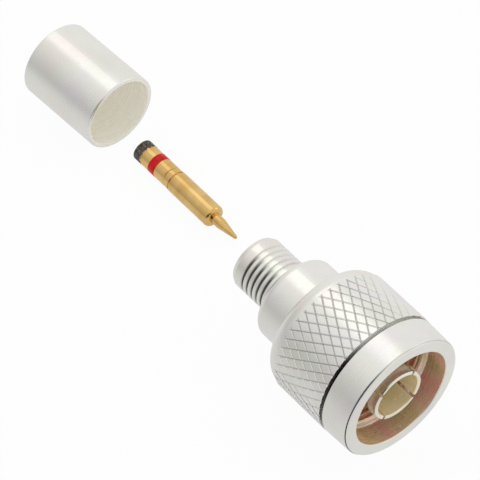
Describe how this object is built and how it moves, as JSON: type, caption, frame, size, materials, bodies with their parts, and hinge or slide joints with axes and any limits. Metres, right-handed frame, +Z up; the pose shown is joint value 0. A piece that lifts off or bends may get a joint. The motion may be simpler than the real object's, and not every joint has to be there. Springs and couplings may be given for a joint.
{
  "type": "n type connector",
  "caption": "Coaxial crimp plug: knurled coupling nut turning freely on a body with slotted sleeve and grooved stem, laid out in a row with its loose pin contact and ferrule.",
  "frame": {"origin": "on the plug's axis, where the coupling thread starts, 4 mm behind the nut's front face", "axes": "+X along the plug's axis out of the mating face, +Z up from the surface that all parts lie on, +Y to the left of +X"},
  "size_m": [0.0827, 0.0209, 0.0204],
  "materials": {
    "silver_plate": "satin silver plating",
    "gold_plate": "bright gold plating, one red and one black painted band",
    "spring_steel": "plain",
    "silicone": "smooth",
    "fluoroplastic": "turned"
  },
  "bodies": {
    "plug": {"plug_body": "silver_plate", "outer_contact": "silver_plate", "gasket": "silicone", "front_insulator": "fluoroplastic", "rear_insulator": "fluoroplastic", "retaining_ring": "spring_steel", "centre_contact": "gold_plate", "crimp_ferrule": "silver_plate"},
    "nut": {"coupling_nut": "silver_plate"}
  },
  "joints": [
    {"name": "nut_turn", "type": "hinge", "parent": "plug", "child": "nut", "pos_m": [-0.0102, 0, 0], "axis": [1, 0, 0], "continuous": true}
  ]
}
